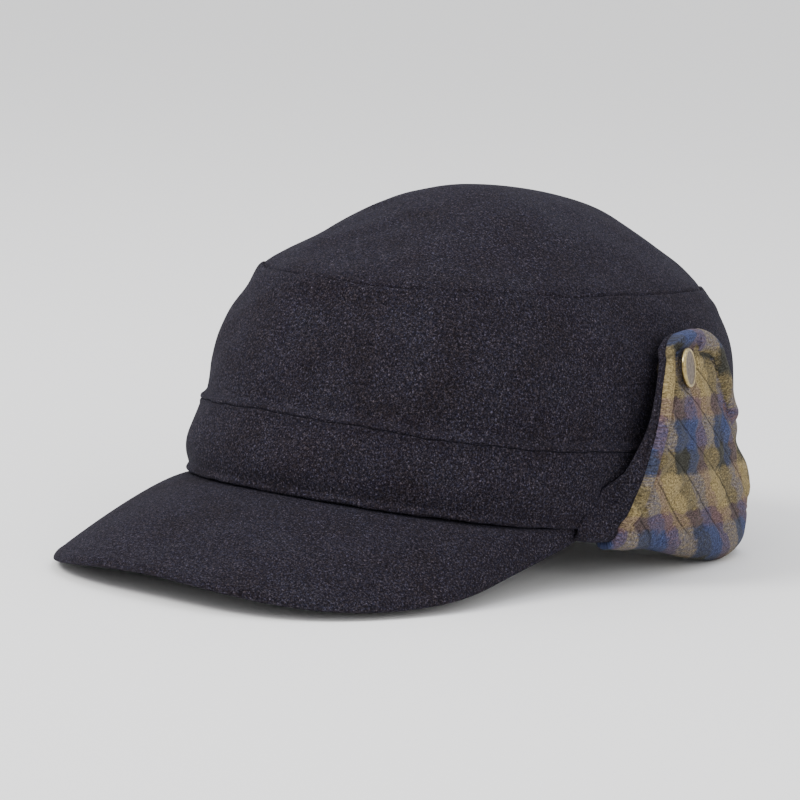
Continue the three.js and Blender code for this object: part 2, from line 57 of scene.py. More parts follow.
def tableAt(y):
    return table["height"] + math.tan(math.radians(table["pitch"])) * y


def pressed(points):
    points[..., 2] = np.maximum(points[..., 2], tableAt(points[..., 1]))
    return points


# Small helpers
def linear(hexColour):
    parts = [int(hexColour[i:i + 2], 16) / 255 for i in (1, 3, 5)]
    return [c / 12.92 if c <= 0.04045 else ((c + 0.055) / 1.055) ** 2.4 for c in parts] + [1.0]


def smooth(x, low, high):
    t = np.clip((x - low) / (high - low), 0, 1)
    return t * t * (3 - 2 * t)


def unit(v):
    return v / np.linalg.norm(v, axis=-1, keepdims=True)


# a soft hump, 1 in the middle and nearly 0 at twice its width
def hump(distance, width):
    return np.exp(-(distance / width) ** 2)


# a quarter circle from 0 at an edge to 1 at the given distance from it
def roundOff(distance, reach):
    t = np.clip(distance / reach, 0, 1)
    return np.sqrt(1 - (1 - t) ** 2)


# numbers from low to high, packed closer towards both ends
def packed(low, high, count, packing):
    t = np.linspace(0, 1, count)
    return low + (high - low) * ((1 - packing) * t + packing * (0.5 - 0.5 * np.cos(np.pi * t)))


# the shares of a smooth curve's start, its slope there, its end and its slope there
def hermite(t):
    return 2 * t**3 - 3 * t**2 + 1, t**3 - 2 * t**2 + t, 3 * t**2 - 2 * t**3, t**3 - t**2


# a curve through a short table that doesn't overshoot between its rows
def curve(at, x, y):
    slope = np.diff(y) / np.diff(x)
    tangent = np.concatenate([slope[:1], np.zeros(len(slope) - 1), slope[-1:]])
    same = np.nonzero(slope[:-1] * slope[1:] > 0)[0]
    tangent[same + 1] = 2 * slope[same] * slope[same + 1] / (slope[same] + slope[same + 1])
    at = np.clip(at, x[0], x[-1])
    i = np.clip(np.searchsorted(x, at, side="right") - 1, 0, len(x) - 2)
    h = x[i + 1] - x[i]
    start, leaving, end, arriving = hermite((at - x[i]) / h)
    return start * y[i] + leaving * h * tangent[i] + end * y[i + 1] + arriving * h * tangent[i + 1]


def lengthAlong(line):
    return np.concatenate([[0], np.cumsum(np.linalg.norm(np.diff(line, axis=0), axis=-1))])


# how far each point is from a line of points
def distanceTo(points, line):
    places = points.reshape(-1, 3)
    best = np.full(len(places), np.inf)
    for a, b in zip(line[:-1], line[1:]):
        along = b - a
        t = np.clip(((places - a) @ along) / max(float(along @ along), 1e-9), 0, 1)
        best = np.minimum(best, np.linalg.norm(places - a - t[:, None] * along, axis=-1))
    return best.reshape(points.shape[:2])


# The crown's shape. The levels climb from the foot of the flaps to the apex: fold, hem, belly, band top, wall
# low, wall middle, shoulder, top seam, dome low, dome middle, dome high, apex. Angles run from the front,
# with 90 degrees on the wearer's left.
sections = np.array([
    # height at the front, side and back, half the width, reach to the front and back
    [-11.0, -17.5, -15.5, 83.0, 100.0, 98.0],
    [0.0, -6.0, -4.0, 83.5, 100.5, 99.0],
    [11.0, 5.5, 7.5, 85.0, 101.0, 101.0],
    [25.5, 19.5, 22.5, 84.0, 94.5, 102.0],
    [39.0, 35.0, 36.5, 82.5, 91.3, 102.5],
    [52.0, 50.0, 50.0, 79.3, 86.9, 101.5],
    [62.5, 61.5, 60.5, 73.5, 81.0, 97.5],
    [70.0, 70.0, 68.0, 66.5, 76.0, 92.0],
    [78.5, 79.5, 78.5, 55.0, 61.0, 80.0],
    [88.0, 90.0, 90.0, 40.5, 41.5, 61.0],
    [97.3, 98.2, 98.7, 24.0, 20.2, 36.5],
    [102.0, 102.0, 102.0, 0.0, 0.0, 0.0],
])
squareness = 2.25
dents = [
    # angle, level, spread, height and depth
    (12, 5.2, 15, 1.5, 2.2),
    (38, 4.6, 13, 1.4, -1.2),
    (-30, 5.0, 14, 1.4, 1.1),
    (66, 5.6, 12, 1.3, 1.2),
    (156, 5.2, 14, 1.4, 1.2),
    (205, 4.8, 16, 1.4, 1.4),
]
flankDents = [(117, 3.95, 10, 0.6, 3.2), (124, 2.9, 11, 0.4, 2.8)]
dimple = (79.4, 2.1, 2.4, 0.3, 3.0)  # the hollow in front of each flap's foot
slopeStep = dict(angle=0.2, level=0.01)


def sectionAt(at):
    top = len(sections) - 1
    at = np.clip(at, 0, top)
    i = np.minimum(np.floor(at).astype(int), top - 1)
    f = (at - i)[..., None]
    a, b, c, d = (sections[np.clip(i + k, 0, top)] for k in (-1, 0, 1, 2))
    cubic = (3 * (b - c) + d - a) * f**3 + (2 * a - 5 * b + 4 * c - d) * f**2
    return 0.5 * (2 * b + (c - a) * f + cubic)


# Above the last ring the dome is a rounded cap: how its height falls off with the distance from the apex.
lastRing = len(sections) - 2
reaches = [4, 3, 5]  # the columns that go with the heights at the front, side and back
capRate = (sections[lastRing + 1] - sections[lastRing - 1]) / 2
capFall = sections[lastRing + 1, :3] - sections[lastRing, :3]
capShare = 2 + capRate[:3] * sections[lastRing, reaches] / (2 * capFall * capRate[reaches])


def sectionPoint(angle, at):
    angle, at = np.broadcast_arrays(np.asarray(angle, float), np.asarray(at, float))
    left = (1 - np.clip(at - lastRing, 0, 1))[..., None]
    row = sectionAt(np.minimum(at, lastRing))
    fall = capFall * (capShare * left**2 + (1 - capShare) * left**4)
    heights = np.where(left < 1, sections[lastRing + 1, :3] - fall, row[..., :3])
    row = np.concatenate([heights, row[..., 3:] * left], -1)
    s, c = np.sin(np.radians(angle)), np.cos(np.radians(angle))
    power = 2 / squareness
    reach = np.where(c > 0, row[..., 4], row[..., 5])
    end = np.where(c > 0, row[..., 0], row[..., 2])
    x = row[..., 3] * np.sign(s) * np.abs(s) ** power
    y = -reach * np.sign(c) * np.abs(c) ** power
    return np.stack([x, y, row[..., 1] + (end - row[..., 1]) * c**2], -1)


def sectionNormal(angle, at):
    angle, at = np.broadcast_arrays(np.asarray(angle, float), np.asarray(at, float))
    turn, climb = slopeStep["angle"], slopeStep["level"]
    along = sectionPoint(angle + turn, at) - sectionPoint(angle - turn, at)
    rise = sectionPoint(angle, at + climb) - sectionPoint(angle, at - climb)
    return unit(np.cross(along, rise))


def depthOf(dent, angle, at):
    middle, level, width, height, depth = dent
    turn = ((angle - middle + 540) % 360 - 180) / width
    return depth * np.exp(-turn**2 - ((at - level) / height) ** 2)


def flankDepth(angle, at):
    return sum(depthOf(dent, angle, at) for dent in flankDents)


def dentDepth(angle, at):
    flanks = flankDepth(angle, at) + flankDepth(360 - angle, at)
    flanks = flanks + depthOf(dimple, angle, at) + depthOf(dimple, 360 - angle, at)
    return flanks + sum(depthOf(dent, angle, at) for dent in dents)


# Small soft waves in the cloth wherever no flap lies on it: the first two cross, and the rest add to them.
ripple = dict(height=0.3, flapMiddle=104, underFlap=30, pastFlap=45, aboveFlap=(5.8, 6.5), fade=(9, 10.6))
crossedWaves = [(3, 1.7, 0.6), (0, 1.1, 2.1)]  # waves round the crown, turn with each level, start
addedWaves = [(7, -2.3, 1.9, 0.7), (11, 3.1, 4.0, 0.5), (17, -4.7, 0.3, 0.35)]  # the same, and their share


def rippleAt(angle, at):
    a = np.radians(angle)
    wave = 1
    for count, climb, start in crossedWaves:
        wave = wave * np.sin(count * a + climb * at + start)
    for count, climb, start, share in addedWaves:
        wave = wave + share * np.sin(count * a + climb * at + start)
    middle = ripple["flapMiddle"]
    fromFlap = np.minimum(np.abs(angle - middle), np.abs(angle - 360 + middle))
    beside = smooth(fromFlap, ripple["underFlap"], ripple["pastFlap"])
    free = np.maximum(beside, smooth(at, *ripple["aboveFlap"]))
    return ripple["height"] * wave * free * (1 - smooth(at, *ripple["fade"]))


# A sewn seam isn't quite straight: how many levels it wanders by, and its waves round the crown, each with
# the rate at which a seam's seed turns it, and its share.
wander = dict(levels=0.016, waves=[(5, 1.0, 1.0), (13, 2.3, 0.8), (31, 3.7, 0.6), (59, 5.3, 0.45)])


def seamWander(angle, seed):
    a = np.radians(angle)
    waves = sum(share * np.sin(count * a + rate * seed) for count, rate, share in wander["waves"])
    return wander["levels"] * waves


def crownPoint(angle, at, proud):
    offset = proud - dentDepth(angle, at) - rippleAt(angle, at)
    return sectionPoint(angle, at) + sectionNormal(angle, at) * offset[..., None]


# Meshes
def meshObject(name, vertices, faces, maps=None):
    mesh = bpy.data.meshes.new(name)
    mesh.from_pydata(vertices.tolist(), [], faces)
    for mapName, uv in (maps or {}).items():
        layer = mesh.uv_layers.new(name=mapName)
        corners = np.zeros(len(mesh.loops), np.int32)
        mesh.loops.foreach_get("vertex_index", corners)
        layer.data.foreach_set("uv", uv[corners].astype(np.float32).ravel())
    mesh.polygons.foreach_set("use_smooth", [True] * len(mesh.polygons))
    mesh.update()
    made = bpy.data.objects.new(name, mesh)
    bpy.context.scene.collection.objects.link(made)
    return made


# the same points and faces on the wearer's other side
def mirrored(points, faces):
    points[:, 0] *= -1
    return points, [face[::-1] for face in faces]


# A closed sheet between two grids: rows climb, and columns run anticlockwise seen from above. A loop joins
# its last column to its first, and a pole closes its top.
def sheetObject(name, face, back, loop=False, pole=None, maps=None, mirror=False):
    rows, columns = face.shape[:2]
    count = rows * columns
    vertices = [face.reshape(-1, 3), back.reshape(-1, 3)]
    ids = np.arange(count).reshape(rows, columns)
    here = ids if loop else ids[:, :-1]
    following = np.roll(ids, -1, 1) if loop else ids[:, 1:]
    quads = []

    def add(a, b, c, d):
        quads.append(np.stack([a, b, c, d], -1).reshape(-1, 4))

    add(here[:-1], following[:-1], following[1:], here[1:])
    add(following[:-1] + count, here[:-1] + count, here[1:] + count, following[1:] + count)
    add(following[0] + count, following[0], here[0], here[0] + count)
    if pole is None:
        add(here[-1], following[-1], following[-1] + count, here[-1] + count)
    if not loop:
        add(ids[:-1, 0], ids[1:, 0], ids[1:, 0] + count, ids[:-1, 0] + count)
        add(ids[1:, -1], ids[:-1, -1], ids[:-1, -1] + count, ids[1:, -1] + count)
    faces = np.concatenate(quads).tolist()
    if pole is not None:
        vertices.append(np.array(pole))
        for a, b in zip(here[-1].tolist(), following[-1].tolist()):
            faces.append([a, b, 2 * count])
            faces.append([b + count, a + count, 2 * count + 1])
    points = toRow(np.concatenate(vertices))
    if mirror:
        points, faces = mirrored(points, faces)
    both = {key: np.tile(uv.reshape(-1, 2), (2, 1)) for key, uv in (maps or {}).items()}
    return meshObject(name, points, faces, both)


# The crown: band, wall and top
print("crown")
crown = dict(columns=330, packing=0.65, cloth=2.4, seamReach=4)
# For each ring of cloth: its levels, how far its outer and inner faces stand out from the sections at each
# level, the levels over which its two edges are rounded, how far they drop there, and the seeds of its seams.
bandRing = dict(
    name="band_cloth", levels=packed(1.0, 2.99, 52, crown["packing"]),
    outer=[(1.0, 0.5), (1.04, 0.9), (1.13, 0.95), (1.2, 0.4), (1.27, -0.25), (1.4, -0.15), (1.6, 0),
           (2.86, -0.1), (2.93, 0.25), (3.0, 0.3)],
    inner=[(1.0, -2.2), (1.12, -3.0), (2.9, -3.0), (3.0, -2.4)],
    rounding=(0.07, 0.03), floors=(-0.6, -0.15), seeds=(4.4, 1.3),
)
wallRing = dict(
    name="crown_wall_cloth", levels=packed(2.995, 7.0, 84, crown["packing"]),
    outer=[(2.98, 0.3), (3.02, 0.6), (3.09, 0.65), (3.16, -0.2), (3.24, -0.8), (3.8, -0.2), (4.5, 0),
           (5.9, 0), (6.6, 0.2), (6.85, 0.6), (6.95, 0.7), (7.02, 0.6)],
    inner=[(3.0, -2.6), (3.1, -3.5), (3.8, -2.6), (4.5, -2.4), (6.5, -2.2), (6.9, -1.9), (7.02, -1.6)],
    rounding=(0.04, 0.04), floors=(-0.15, -0.6), seeds=(1.3, 2.9),
)
topRing = dict(
    name="crown_top_cloth",
    levels=np.concatenate([np.linspace(6.95, 7.3, 14)[:-1], np.linspace(7.3, 10.93, 60)]),
    outer=[(6.95, -0.9), (7.03, -0.3), (7.12, 0.15), (7.3, 0.3), (7.6, 0.2), (8.2, 0), (11, 0)],
    inner=[(6.93, -2.1), (7.1, -2.4), (11, -2.4)],
    rounding=(0.03, 0), floors=(-0.6, -0.6), seeds=(2.9, 0),
)


def profileAt(rows, at):
    levels, proud = zip(*rows)
    return np.interp(at, levels, proud)


def ringObject(ring, pole=None):
    levels, power = ring["levels"], crown["seamReach"]
    angle, at = np.meshgrid(np.arange(crown["columns"]) * 360 / crown["columns"], levels)
    share = (at - levels[0]) / (levels[-1] - levels[0])
    wandered = at + (seamWander(angle, ring["seeds"][0]) * (1 - share) ** power
                     + seamWander(angle, ring["seeds"][1]) * share**power)
    edge = roundOff(at - levels[0], ring["rounding"][0])
    if ring["rounding"][1]:
        edge = np.minimum(edge, roundOff(levels[-1] - at, ring["rounding"][1]))
    floor = np.where(share < 0.5, *ring["floors"])
    face = crownPoint(angle, wandered, floor + (profileAt(ring["outer"], at) - floor) * edge)
    back = crownPoint(angle, wandered, profileAt(ring["inner"], at))
    return sheetObject(ring["name"], face, back, loop=True, pole=pole)


apex = sections[-1, 0]
bandCloth = ringObject(bandRing)
wallCloth = ringObject(wallRing)
topCloth = ringObject(topRing, [[0, 0, apex], [0, 0, apex - crown["cloth"]]])

# The peak
print("peak")
peak = dict(
    halfAngle=74.2, inset=1.6, drop=0.4, halfWidth=83.2, reach=59.0, slope=20.6,
    arch=9.2, twist=1.4, swell=3.0, swellForward=0.8, shortest=12.0, corner=3.0, taper=0.7,
    board=3.2, lip=2.6, thinFrom=0.9, edge=0.034, allowance=1.8, turnUp=4.5,
    columns=241, rows=70, sidePacking=0.4, edgePacking=1.6,
    cockle=0.2, crinkle=0.12, ridge=0.06, ridgeAt=0.965, ridgeWidth=0.02,
    groove=0.08, grooveAt=0.93, grooveWidth=0.014,
)
hemLevel = 1.0
bandInside = -3.0
looseGap = 0.5


def underHem(across, inset):
    point = sectionPoint(across * peak["halfAngle"], np.full_like(across, hemLevel))
    share = 1 - inset / np.hypot(point[..., 0], point[..., 1])
    return np.stack([point[..., 0] * share, point[..., 1] * share, point[..., 2] - peak["drop"]], -1)


# across runs from -1 to 1 and out from 0 at the hem to 1 at the edge
def peakPoint(across, out):
    slope = math.radians(peak["slope"])
    root = underHem(across, peak["inset"])
    endY = float(sectionPoint(peak["halfAngle"], hemLevel)[1])
    hemReach = -float(sectionPoint(0.0, hemLevel)[1])
    turn = across * math.pi / 2
    power = 2 / peak["corner"]
    fore = hemReach + peak["reach"] * math.cos(slope) + endY
    x = peak["halfWidth"] * np.sign(turn) * np.abs(np.sin(turn)) ** power
    x += (root[..., 0] - x) * smooth(np.abs(across), peak["taper"], 1) ** 2
    y = endY - fore * np.abs(np.cos(turn)) ** power
    edge = np.stack([x, y, root[..., 2]], -1)
    length = np.linalg.norm(edge - root, axis=-1)
    point = root + (edge - root) * out[..., None]
    aside = point[..., 0] / peak["halfWidth"]
    droop = (peak["arch"] * aside**2 - peak["twist"] * aside) * (length * out / peak["reach"])
    arched = np.sin(np.pi * np.clip(out, 0, 1) ** peak["swellForward"])
    swell = peak["swell"] * arched * np.minimum(length / peak["shortest"], 1)
    point[..., 2] += swell - droop - math.tan(slope) * length * out
    return point


def peakObject():
    t, packing = np.linspace(-1, 1, peak["columns"]), peak["sidePacking"]
    across = np.sign(t) * ((1 - packing) * np.abs(t) + packing * (1 - (1 - np.abs(t)) ** 2))
    a, o = np.meshgrid(across, 1 - np.linspace(0, 1, peak["rows"]) ** peak["edgePacking"])
    thick = peak["board"] + (peak["lip"] - peak["board"]) * smooth(o, peak["thinFrom"], 1)
    half = roundOff(1 - o, peak["edge"])
    middle = peakPoint(a, o)
    # the cloth lies a little unevenly over the board, and a soft turned edge runs round it
    cockle = peak["cockle"] * np.sin(9 * a + 1.2) * np.sin(5 * o + 0.8)
    soft = (cockle + peak["crinkle"] * np.sin(23 * a - 3 * o)) * smooth(o, 0, 0.3)
    soft += peak["ridge"] * hump(o - peak["ridgeAt"], peak["ridgeWidth"])
    soft -= peak["groove"] * hump(o - peak["grooveAt"], peak["grooveWidth"])
    face = middle + up * (soft * half - thick * 0.5 * (1 - half))[..., None]
    back = pressed(middle - up * (thick * (0.5 + 0.5 * half))[..., None])
    front = looseGap - bandInside
    behind = front + peak["allowance"]
    inFront = [underHem(across, front) + up * rise for rise in (0, peak["turnUp"])]
    atBack = [underHem(across, behind) + up * rise for rise in (-peak["board"], peak["turnUp"])]
    return sheetObject("peak_cloth", np.concatenate([face, inFront]), np.concatenate([back, atBack]))


peakCloth = peakObject()

# The flaps. Where the shell and the lining meet, both are laid out from one grid: a share runs from 0 at the
# lining's front edge to 1 at the rear edge, and below 0 the shell alone goes on in front of it.
print("flaps")
cloth = dict(shell=2.4, lining=3.0, innerLining=1.6, gap=0.3, allowance=7.0)
flapColumns = ("level", "front", "rear", "margin", "lift", "lieBack", "slack")
flapRows = np.array([
    # level, angles of the front and rear edges, margin of shell in front, lift, lie back, slack
    [1.0, 81.3, 131.0, 8.7, 1.5, 1.0, 2.6],
    [1.5, 81.8, 130.5, 6.6, 2.2, 1.0, 2.2],
    [2.2, 82.8, 127.5, 3.8, 4.5, 0.8, 0.8],
    [2.55, 83.3, 124.8, 2.5, 5.6, 0.5, 0.3],
    [3.0, 84.1, 122.5, 1.7, 6.5, 0.3, 0.0],
    [3.4, 85.1, 119.7, 1.4, 6.8, 0.1, 0.0],
    [3.8, 86.0, 116.5, 1.2, 7.0, 0.0, 0.0],
    [4.35, 87.7, 112.5, 0.8, 6.0, 0.0, 0.0],
    [4.9, 90.0, 108.8, 0.8, 4.5, 0.0, 0.0],
    [5.3, 91.0, 107.6, 0.8, 3.5, 0.0, 0.0],
    [5.7, 92.0, 106.6, 0.8, 2.3, 0.0, 0.0],
])
tab = dict(start=4.9, top=5.6, middle=99.3, sweep=83, past=0.05, close=0.25)
fold = dict(rise=15.6, down=0.7, curve=1.35, end=1.6, dip=0.9, step=0.02)
feather = dict(low=1.75, high=2.55, proud=0.12, power=2.4)
pinch = dict(least=0.4, over=6.0)
flat = dict(angle=90, marks=np.arange(70, 140, 0.5), levels=np.arange(hemLevel, 5.9, 0.02), proud=6.2)


def flapValue(at, column):
    return curve(np.asarray(at, float), flapRows[:, 0], flapRows[:, flapColumns.index(column)])


# The tab's front and rear edges close in an arch above its straight sides.
def flapEdge(at, column):
    at = np.asarray(at, float)
    start = float(flapValue(tab["start"], column))
    share = np.clip((at - tab["start"]) / (tab["top"] - tab["start"]), 0, 1)
    arched = tab["middle"] + (start - tab["middle"]) * np.sqrt(1 - share**2)
    return np.where(at > tab["start"], arched, flapValue(at, column))


def flapAngle(share, at):
    front, rear = flapEdge(at, "front"), flapEdge(at, "rear")
    return front + share * np.where(share < 0, flapValue(at, "margin"), rear - front)


def shareOf(angle, at):
    front, rear = flapEdge(at, "front"), flapEdge(at, "rear")
    return (angle - front) / np.maximum(rear - front, 0.5)


# how far the angle is into the shell's margin in front of the lining
def aheadOf(angle, at):
    return np.clip((flapEdge(at, "front") - angle) / flapValue(at, "margin"), 0, 1)


def slackOf(angle, at):
    return flapValue(at, "slack") * smooth(shareOf(angle, at), 0.3, 0.8)


def liftOf(angle, at):
    front, rear = flapValue(at, "front"), flapValue(at, "rear")
    share = np.clip(1 - (angle - front) / (rear - front), 0, 1)
    return flapValue(at, "lift") * (share**2 - flapValue(at, "lieBack") * aheadOf(angle, at))


def shellAt(angle, at):
    edge = np.minimum(angle - flapEdge(at, "front") + flapValue(at, "margin"), flapEdge(at, "rear") - angle)
    return cloth["shell"] * (pinch["least"] + (1 - pinch["least"]) * roundOff(edge, pinch["over"]))


# Low down, the wool in front of the lining runs out flat onto the band, with a dimple in the hollow.
def underFlap(angle, at, proud):
    off = proud + liftOf(angle, at) + slackOf(angle, at)
    ahead = aheadOf(angle, at)
    low = 1 - smooth(at, feather["low"], feather["high"])
    flatter = 1 - (1 - ahead) ** feather["power"]
    off = off + (feather["proud"] - off) * flatter * low * (ahead > 0)
    onBand = at < 3
    off = off - depthOf(dimple, angle, at) * onBand - flankDepth(angle, at)
    return sectionPoint(angle, at) + sectionNormal(angle, at) * off[..., None]


# the fold's section at each place along it, where the lining's front edge dips forward underneath
def foldAt(share, turn):
    foot = dict(zip(flapColumns, flapRows[0]))
    at = np.full_like(share, hemLevel)
    front = foot["front"] - fold["dip"] * math.sin(turn) ** 2
    foremost = foot["front"] - foot["margin"]
    angle = front + share * np.where(share < 0, front - foremost, foot["rear"] - front)
    shell = shellAt(angle, at)
    hem = sectionPoint(angle, at)
    out = sectionNormal(angle, at)
    out[:, 2] = 0
    out = unit(out)
    inside = bandInside - looseGap - shell
    outside = looseGap + shell + slackOf(angle, at)
    radius = (outside - inside) / 2
    centre = hem + out * ((inside + outside) / 2)[:, None]
    rise = fold["rise"] * np.clip(1 - shareOf(angle, at) / fold["down"], 0, 1) ** fold["curve"]
    bottom = tableAt(centre[:, 1]) - table["give"] + rise
    centre[:, 2] = np.minimum(bottom + cloth["gap"] + cloth["lining"] + radius, hem[:, 2] - looseGap)
    sewn = hem + out * inside[:, None] + up * cloth["allowance"]
    return centre, out, radius[:, None], sewn


# millimetres along the cloth, across from 90 degrees
def flatAcross(angle, level):
    along = lengthAlong(underFlap(flat["marks"], np.full_like(flat["marks"], level), flat["proud"]))
    return np.interp(angle, flat["marks"], along) - np.interp(flat["angle"], flat["marks"], along)


# millimetres along the cloth, up from the hem
def flatUp(levels):
    along = lengthAlong(sectionPoint(np.full_like(flat["levels"], flat["angle"]), flat["levels"]))
    return np.interp(levels, flat["levels"], along)


# Where shell and lining meet, in rows from the sewn edge inside the band, round the fold and up the outside:
# the points, the ways out of the cloth, the lining's thickness and the flat places.
def flapGrid(share, counts):
    points, ways, lining = [], [], []

    def put(point, way, thickness):
        points.append(point)
        ways.append(way)
        lining.append(np.full_like(share, thickness))

    centre, out, radius, sewn = foldAt(share, 0)
    for t in np.linspace(0, 1, counts["sewn"])[:-1]:
        put(sewn + (centre - out * radius - sewn) * t, -out, cloth["innerLining"])
    for turn in np.linspace(0, math.pi, counts["fold"]):
        centre, out, radius, sewn = foldAt(share, turn)
        way = -out * math.cos(turn) - up * math.sin(turn)
        thicker = (cloth["lining"] - cloth["innerLining"]) * float(smooth(turn / math.pi, 0, 0.5))
        put(centre + way * radius, way, cloth["innerLining"] + thicker)
    # from the end of the fold a smooth curve leads into the level where the flap lies along the crown
    at = np.full_like(share, fold["end"])
    turn = flapAngle(share, at)
    proud = looseGap + shellAt(turn, at)
    far = underFlap(turn, at, proud)
    beyond = underFlap(flapAngle(share, at + fold["step"]), at + fold["step"], proud)
    near = points[-1]
    length = np.linalg.norm(far - near, axis=-1)[:, None]
    farWay = sectionNormal(turn, at)
    for t in np.linspace(0, 1, counts["ease"])[1:]:
        start, leaving, end, arriving = hermite(t)
        bend = leaving * up * length + arriving * unit(beyond - far) * length
        put(start * near + end * far + bend, unit(out + (farWay - out) * t), cloth["lining"])
    meet = len(points) - 1
    climb = np.linspace(fold["end"], tab["start"], counts["climb"])[1:]
    sweep = np.linspace(0, math.radians(tab["sweep"]), counts["arch"])[1:]
    levels = np.concatenate([climb, tab["start"] + (tab["top"] - tab["start"]) * np.sin(sweep)])
    for level in levels:
        at = np.full_like(share, level)
        turn = flapAngle(share, at)
        proud = looseGap + shellAt(turn, at) * roundOff(tab["top"] + tab["past"] - level, tab["close"])
        put(underFlap(turn, at, proud), sectionNormal(turn, at), cloth["lining"])
    points, ways, lining = np.array(points), np.array(ways), np.array(lining)
    levels = np.concatenate([np.full(meet + 1, fold["end"]), levels])
    u = np.array([flatAcross(flapAngle(share, np.full_like(share, level)), level) for level in levels])
    v = np.repeat(flatUp(levels)[:, None], len(share), 1)
    step = np.linalg.norm(np.diff(points[:meet + 1], axis=0), axis=-1)
    v[:meet] -= np.cumsum(step[::-1], 0)[::-1]
    return dict(points=points, ways=ways, lining=lining, u=u, v=v, meet=meet)


# The flannel side: its quilting, the turned edge that makes a strip along the front and a roll along the top
# and the rear, and the check, which leans with the height and is out of step on the strip and the roll.
flannelGrid = dict(columns=180, packing=0.45, sewn=6, fold=30, ease=14, climb=100, arch=44)
quilt = dict(slope=0.68, pitch=13.6, first=9.3, second=36.6, puff=1.5, width=2.7, sunk=0.9, cockle=0.18)
edging = dict(strip=3.7, groove=1.2, grooveWidth=0.55, roll=8.4, height=5.9, crease=1.2, creaseWidth=1.3,
              beside=2.5, round=2.6, rollRound=1.4, thin=0.3, least=0.5, sewnGap=1.2)
rollFrom = dict(front=(55, 62), rear=(27, 37))  # how far up the flap the roll begins
check = dict(start=9.2, bend=18.0, leanHigh=0.17, leanLow=0.85,
             rollAside=9, rollUp=6, stripAside=4, stripLean=0.5, stripFrom=42)
seat = dict(depth=1.3, radius=8.6, above=20)  # the dent that the snap presses into the padding
snap = dict(across=0.19, level=4.7, turn=10.0, nod=8.0, seat=-0.6, radius=6.8)


def snapAngle():
    front, rear = float(flapValue(snap["level"], "front")), float(flapValue(snap["level"], "rear"))
    return front + (rear - front) * snap["across"]


def quiltLines(u, v):
    lean = math.hypot(1, quilt["slope"])
    one = (v + quilt["slope"] * u - quilt["first"]) / quilt["pitch"]
    two = (v - quilt["slope"] * u - quilt["second"]) / quilt["pitch"]
    near = [np.abs(k - np.round(k)) * quilt["pitch"] / lean for k in (one, two)]
    return np.minimum(*near)


def snapDent(points, v):
    place = np.array(snapAngle()), np.array(snap["level"]), np.array(looseGap + cloth["shell"])
    fromSnap = np.linalg.norm(points - underFlap(*place), axis=-1)
    return seat["depth"] * np.exp(-((fromSnap / seat["radius"]) ** 4)) * (v > seat["above"])


# the distances to the front edge, the rear edge and the sewn edge, and to wherever the roll runs
def flannelDistances(points, meet):
    foldEnd = meet + 1 - flannelGrid["ease"]
    fromFront = distanceTo(points, points[meet - 20:, 0][::4])
    rim = np.concatenate([points[foldEnd:, -1], points[-1, ::-1][::6]])
    fromRear = distanceTo(points, rim[::3])
    fromSewn = distanceTo(points, points[0, ::12])
    upperFront = points[-60:, 0]
    return fromFront, fromRear, fromSewn, np.minimum(fromRear, distanceTo(points, upperFront[::2]))


def flannelPattern(u, v, onRoll, onStrip):
    lean = check["leanHigh"] * (v - check["bend"]) - check["leanLow"] * np.maximum(check["bend"] - v, 0)
    stripAside = check["stripAside"] + check["stripLean"] * np.maximum(v - check["stripFrom"], 0)
    aside = -check["rollAside"] * onRoll - onStrip * stripAside
    return np.stack([u + check["start"] + lean + aside, v + check["rollUp"] * onRoll], -1)


def flannelObject(side, mirror):
    grid = flapGrid(packed(0, 1, flannelGrid["columns"], flannelGrid["packing"]), flannelGrid)
    points, u, v = grid["points"], grid["u"], grid["v"]
    fromFront, fromRear, fromSewn, fromRim = flannelDistances(points, grid["meet"])
    nearest = np.minimum(np.minimum(fromFront, fromRear), fromSewn + edging["sewnGap"])
    outside = smooth(v, -9, 1)
    # the rolled edge swells along the top and the rear, and fades into the fold
    rolled = np.where(fromFront < fromRear, smooth(v, *rollFrom["front"]), smooth(v, *rollFrom["rear"]))
    half = edging["roll"] / 2
    bulge = np.sqrt(np.clip(1 - ((fromRim - half) / (half + 0.2)) ** 2, 0, 1))
    roll = edging["height"] * bulge * roundOff(fromRim, edging["rollRound"])
    crease = rolled * edging["crease"] * hump(fromRim - edging["roll"] - 0.3, edging["creaseWidth"])
    # along the front a narrow strip of the lining's own turned edge
    groove = edging["groove"] * hump(fromFront - edging["strip"], edging["grooveWidth"])
    strip = groove * smooth(v, -8, 2) * (1 - rolled)
    inner = smooth(fromFront, edging["strip"], edging["strip"] + edging["beside"])
    inner = inner * (1 - rolled * (1 - smooth(fromRim, edging["roll"], edging["roll"] + edging["beside"])))
    inner = inner * smooth(fromRear, 1.0, 9.0) * outside
    puff = quilt["puff"] * (1 - hump(quiltLines(u, v), quilt["width"])) - quilt["sunk"]
    cockle = quilt["cockle"] * np.sin(0.9 * u + 0.5 * v) * np.sin(0.35 * v - 0.4 * u)
    height = grid["lining"] + inner * (puff + cockle) - crease - strip - snapDent(points, v)
    height = np.maximum(height, edging["least"]) * roundOff(nearest, edging["round"])
    height = np.maximum(height, roll * rolled)
    # underneath, the lining thins out towards the front and lies flush with the wool
    under = smooth(-v, -4, 6) * (1 - smooth(fromFront, 0, 9))
    height = height * (1 - edging["thin"] * under)
    bare = cloth["gap"] * 0.3
    face = pressed(points + grid["ways"] * (bare + height)[..., None])
    back = pressed(points + grid["ways"] * bare)
    onRoll = rolled * (fromRim < edging["roll"] - 0.3)
    onStrip = (fromFront < edging["strip"]) * (1 - onRoll)
    pattern = flannelPattern(u, v, onRoll, onStrip)
    maps = dict(flat=np.stack([u, v], -1), pattern=pattern, sewing=np.stack([inner, outside], -1))
    return sheetObject(f"{side}_flap_flannel", face, back, maps=maps, mirror=mirror)


